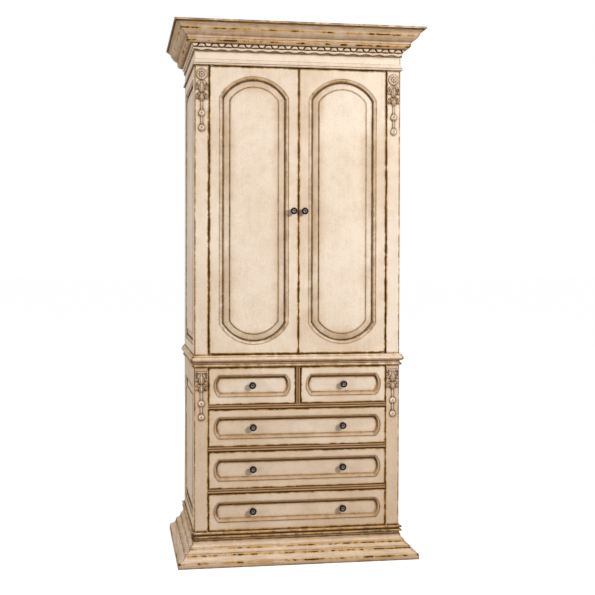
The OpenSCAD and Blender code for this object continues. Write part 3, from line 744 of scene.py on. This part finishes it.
open_ends(ground, link_long)
done(ground)
link_parts = join_up([ground, roll, disc, lobe])

# glaze and painted shade lie dark in the grooves round the lobes and half-discs and on the ground under the
# roll
rope_paint = painted(
    "rope_cream", across, side_streak_way=deepwise, glaze_all_over=0.1, glaze_in_corners=1.9,
    glaze_underneath=0.3, wear=0.5, corner_depth=0.007, edge_width=0.001,
)


def rope_length(name, links, shift, turn, mitres):
    """Links side by side along one face of the case, cut where it ends or meets another."""
    made = []
    for number in range(-1, links + 1):
        along = Matrix.Translation(((number + 0.5 - links / 2) * link_long + shift, 0, 0))
        made.append(copy_to(link_parts, turn @ along))
    length = join_up(made)
    length.name = name
    bpy.ops.object.mode_set(mode="EDIT")
    weld_up(length)
    for where, outward in mitres:
        cut(where, outward)
    done(length)
    length.data.materials.clear()
    length.data.materials.append(rope_paint)
    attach(length, "case")
    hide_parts("rope_moulding")


rope_length(
    "rope_front", 16, 0.009, Matrix.Translation((0, face, rope_low.z)),
    (((-case_half, face, 0), (-1, 1, 0)), ((case_half, face, 0), (1, 1, 0))),
)
for side, name in ((-1, "rope_left"), (1, "rope_right")):
    middle = Matrix.Translation((side * case_half, (face + rope_high.y) / 2, rope_low.z))
    rope_length(
        name, 10, 0.0, middle @ Matrix.Rotation(side * math.pi / 2, 4, "Z"),
        (((side * case_half, face, 0), (-side, -1, 0)), ((0, rope_high.y, 0), (0, 1, 0))),
    )
bpy.data.objects.remove(link_parts)

# ---------------------------------------------------------------------------
# The carved drops on the pilasters: a rosette or a pair of scrolls, two husks of
# pointed leaves, and two buds on a thin stem. Carved in pine, glued on before the
# painting, and heavily glazed, with painted shade laid dark in every hollow.
# ---------------------------------------------------------------------------
def draw_ring(piece, ring_z, wide, deep):
    """Pulls one ring of corners in or out, to draw the outline of a leaf or bud."""
    choose(piece, "verts", lambda co: abs(co.z - ring_z) < nearly)
    resize((wide, deep, 1), (0, 0, ring_z))


def hang_down(piece, long, angle=40):
    shift_all((0, 0, -long / 2))
    flatten_back()
    return done(piece, angle)


def leaf_piece(wide, long, thick):
    """A pointed leaf with a raised rib down its middle and a groove on each side of it."""
    rings = 10
    leaf = start_piece("uv_sphere", segments=16, ring_count=rings, radius=1)
    choose(leaf, "verts", lambda co: co.y < -0.2 and abs(co.x) < 0.01)
    resize((1, 1.2, 1))
    choose(leaf, "verts", lambda co: co.y < -0.2 and 0.3 < abs(math.atan2(co.x, -co.y)) < 0.5)
    resize((1, 0.66, 1))
    bpy.ops.mesh.select_all(action="SELECT")
    resize((wide / 2, thick, long / 2))
    for ring in range(1, rings):
        ring_z = long / 2 * math.cos(math.pi * ring / rings)
        down = 0.5 - ring_z / long
        outline = 2.7 * down ** 0.62 * (1 - down) ** 0.85 / math.sin(math.pi * ring / rings)
        draw_ring(leaf, ring_z, outline, 0.5 + 0.5 * outline)
    return hang_down(leaf, long, 50)


def curl_piece(radius):
    """A small round curl with a dimple in the middle of its face."""
    curl = start_piece("uv_sphere", segments=14, ring_count=8, radius=radius, rotation=(math.pi / 2, 0, 0))
    choose(curl, "verts", lambda co: co.y < -0.85 * radius)
    bpy.ops.transform.translate(value=(0, 0.75 * radius, 0))
    flatten_back()
    return done(curl)


def bud_piece(wide, long, thick):
    """A bud with a collar at its top, a waist under that, and a full round end."""
    rings = 12
    bud = start_piece("uv_sphere", segments=16, ring_count=rings, radius=1)
    resize((wide / 2, thick, long / 2))
    for ring, swell in ((1, 1.5), (2, 1.25), (3, 0.72), (4, 0.85), (8, 1.06), (9, 1.0), (10, 0.8)):
        draw_ring(bud, long / 2 * math.cos(math.pi * ring / rings), swell, swell)
    return hang_down(bud, long, 50)


def stem_piece(radius, long):
    stem = start_piece("cylinder", vertices=12, radius=radius, depth=long)
    choose(stem, "verts", lambda co: abs(co.z) > long / 2 - nearly)
    bpy.ops.mesh.bevel(offset=radius / 3, segments=2, affect="EDGES")
    return hang_down(stem, long)


def turned_button(radius):
    """A turned disc with a rim, a dished field and a boss; the steps are in millimetres."""
    thick = 0.005
    button = start_piece("cylinder", vertices=32, radius=radius, depth=thick, rotation=(math.pi / 2, 0, 0))
    choose(button, "faces", lambda co: co.y < nearly - thick / 2)
    for step_in, step_out in (
        (1.4, 2.4), (1.6, 0.2), (1.0, -1.5), (9.0, 0.3), (3.0, 1.2), (2.4, 0.2), (1.2, -2.6),
    ):
        bpy.ops.mesh.inset(thickness=step_in / 1000)
        bpy.ops.transform.translate(value=(0, -step_out / 1000, 0))
    flatten_back()
    return done(button, 35)


def hung(x, z, lean=0.0, y=0.0, stretch=1.0):
    turn = Matrix.Rotation(math.radians(-lean), 4, "Y")
    return Matrix.Translation((x, y, z)) @ turn @ Matrix.Diagonal((1, 1, stretch, 1))


leaf, side_leaf, curl = leaf_piece(0.027, 0.062, 0.0118), leaf_piece(0.024, 0.047, 0.0085), curl_piece(0.0072)
lower_leaf, lower_side = leaf_piece(0.024, 0.044, 0.0112), leaf_piece(0.019, 0.038, 0.0080)
small_curl, stem = curl_piece(0.0056), stem_piece(0.0045, 0.040)
bud, eye = bud_piece(0.026, 0.035, 0.0105), curl_piece(0.0050)
curl_y, eye_y = -0.003, -0.0078  # curls stand off the post, and eyes off their bud
spray_parts = [
    copy_to(pattern, hung(side * x, z, side * lean, y))
    for side in (-1, 1)
    for pattern, x, z, lean, y in (
        (side_leaf, 0.003, 0.0, 31, 0.0), (curl, 0.0215, -0.017, 0, curl_y),
        (lower_side, 0.003, -0.054, 42, 0.0), (small_curl, 0.0165, -0.061, 0, curl_y),
    )
] + [
    copy_to(pattern, hung(0, z, y=y, stretch=stretch))
    for pattern, z, y, stretch in (
        (leaf, 0.002, 0.0, 1.0), (lower_leaf, -0.052, 0.0, 1.0),
        (stem, -0.090, 0.0, 1.0), (bud, -0.127, 0.0, 1.0), (eye, -0.143, eye_y, 1.0),
        (stem, -0.158, 0.0, 0.95), (bud, -0.193, 0.0, 1.0), (eye, -0.209, eye_y, 1.0),
    )
]
spray = join_up(spray_parts)

button_radius = 0.0234
button, petal = turned_button(button_radius), leaf_piece(0.0095, 0.0125, 0.0052)
petals = [copy_to(petal, hung(0, 0, number * 45) @ hung(0, -0.0055, y=-0.0008)) for number in range(8)]
rosette = join_up([button] + petals)
bigger = Matrix.Diagonal((1.25, 1.25, 1.25, 1))
scrolls = join_up([
    copy_to(stem, hung(-0.019, 0, 90)),
    *[copy_to(curl, hung(side * 0.020, -0.003) @ bigger) for side in (-1, 1)],
])

# a lighter cream than the case, a painted highlight on the tops of the carving, with glaze and painted shade
# dark in its hollows
carving_paint = painted(
    "carving_cream", upright, paint=(0.90, 0.78, 0.65, 1), glaze_all_over=0.12, glaze_in_corners=2.5,
    glaze_underneath=0.9, wear=0.5, corner_depth=0.0075, edge_width=0.001,
)
post_middle = (case_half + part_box("lower_rails")[1][0]) / 2
rosette_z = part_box("carved_drops")[1][2] - button_radius
scroll_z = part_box("waist_moulding")[0][2] - 0.026
for side, hand in ((-1, "left"), (1, "right")):
    for level, head, head_z, spray_z, stretch in (
        ("upper", rosette, rosette_z, rosette_z - 0.030, 1.0),
        ("lower", scrolls, scroll_z, scroll_z - 0.003, 0.94),
    ):
        drop = join_up([
            copy_to(head, hung(side * post_middle, head_z, y=face)),
            copy_to(spray, hung(side * post_middle, spray_z, y=face, stretch=stretch)),
        ])
        drop.name = f"carved_drop_{level}_{hand}"
        drop.data.materials.clear()
        drop.data.materials.append(carving_paint)
        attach(drop, "case")
        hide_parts("carved_drops")
for pattern in (
    leaf, side_leaf, curl, lower_leaf, lower_side, small_curl, stem, bud, eye, petal, spray, rosette, scrolls,
):
    bpy.data.objects.remove(pattern)


# ---------------------------------------------------------------------------
# Knobs: small turned iron knobs, blackened and waxed, with a rolled rim round a
# dished face that carries a painted grey highlight for its sheen. Each is one casting with its stem.
# ---------------------------------------------------------------------------
def iron(name, node):
    """Waxed iron for the knobs of one node, with a painted grey highlight for the sheen in the dish of each,
    inside its rim.
    """
    low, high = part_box(node)
    knob_half = (high[2] - low[2]) / 2
    knob_x, knob_z = max(abs(low[0]), abs(high[0])) - knob_half, (low[2] + high[2]) / 2
    made, tree, shader = new_paint(name)
    place = tree.nodes.new("ShaderNodeTexCoord").outputs["Object"]
    mottle = noise(tree, place, 160.0, 4.0, 0.6)
    spot = split_up(tree, place)
    off_x = difference(tree, absolute(tree, spot["X"]), knob_x)
    off_z = difference(tree, spot["Z"], knob_z)
    out = maths(tree, "SQRT", total(tree, product(tree, off_x, off_x), product(tree, off_z, off_z)))
    dish = product(tree, ramp(tree, out, 0.0095, 0.0075), ramp(tree, out, 0.0022, 0.0036))
    grey = product(tree, dish, ramp(tree, mottle, 0.3, 0.7, 0.7, 1.0))
    tone = blend(tree, grey, (0.005, 0.004, 0.004, 1), (0.21, 0.165, 0.150, 1))
    link(tree, tone, shader.inputs["Base Color"])
    shader.inputs["Metallic"].default_value = 0.2
    shader.inputs["Specular IOR Level"].default_value = 0.3
    link(tree, ramp(tree, mottle, 0.3, 0.7, 0.30, 0.45), shader.inputs["Roughness"])
    raise_grain(tree, shader, mottle, 0.3, 0.0004)
    return made


for name in nodes:
    if name.endswith(("_knob", "_knobs")):
        dress(iron(f"iron_{name}", name), name)


# ---------------------------------------------------------------------------
# Steel: door pivots and their bushes, the magnetic catch and its strike plates,
# the clothes rail and its sockets. Dull plated steel, brushed along its length.
# ---------------------------------------------------------------------------
steel, steel_tree, steel_shader = new_paint("plated_steel")
steel_place = steel_tree.nodes.new("ShaderNodeTexCoord").outputs["Object"]
lines = noise(steel_tree, stretch_out(steel_tree, steel_place, (2.0, 400.0, 400.0)), 1.0, 4.0, 0.6)
steel_tone = blend(steel_tree, lines, (0.42, 0.41, 0.39, 1), (0.62, 0.61, 0.59, 1))
steel_shader.inputs["Metallic"].default_value = 1.0
link(steel_tree, steel_tone, steel_shader.inputs["Base Color"])
link(steel_tree, ramp(steel_tree, lines, 0.3, 0.7, 0.28, 0.45), steel_shader.inputs["Roughness"])
dress(
    steel, "clothes_rail", "rail_sockets", "pivot_bushes", "magnetic_catch",
    "door_left_pivots", "door_right_pivots", "door_left_strike", "door_right_strike",
)
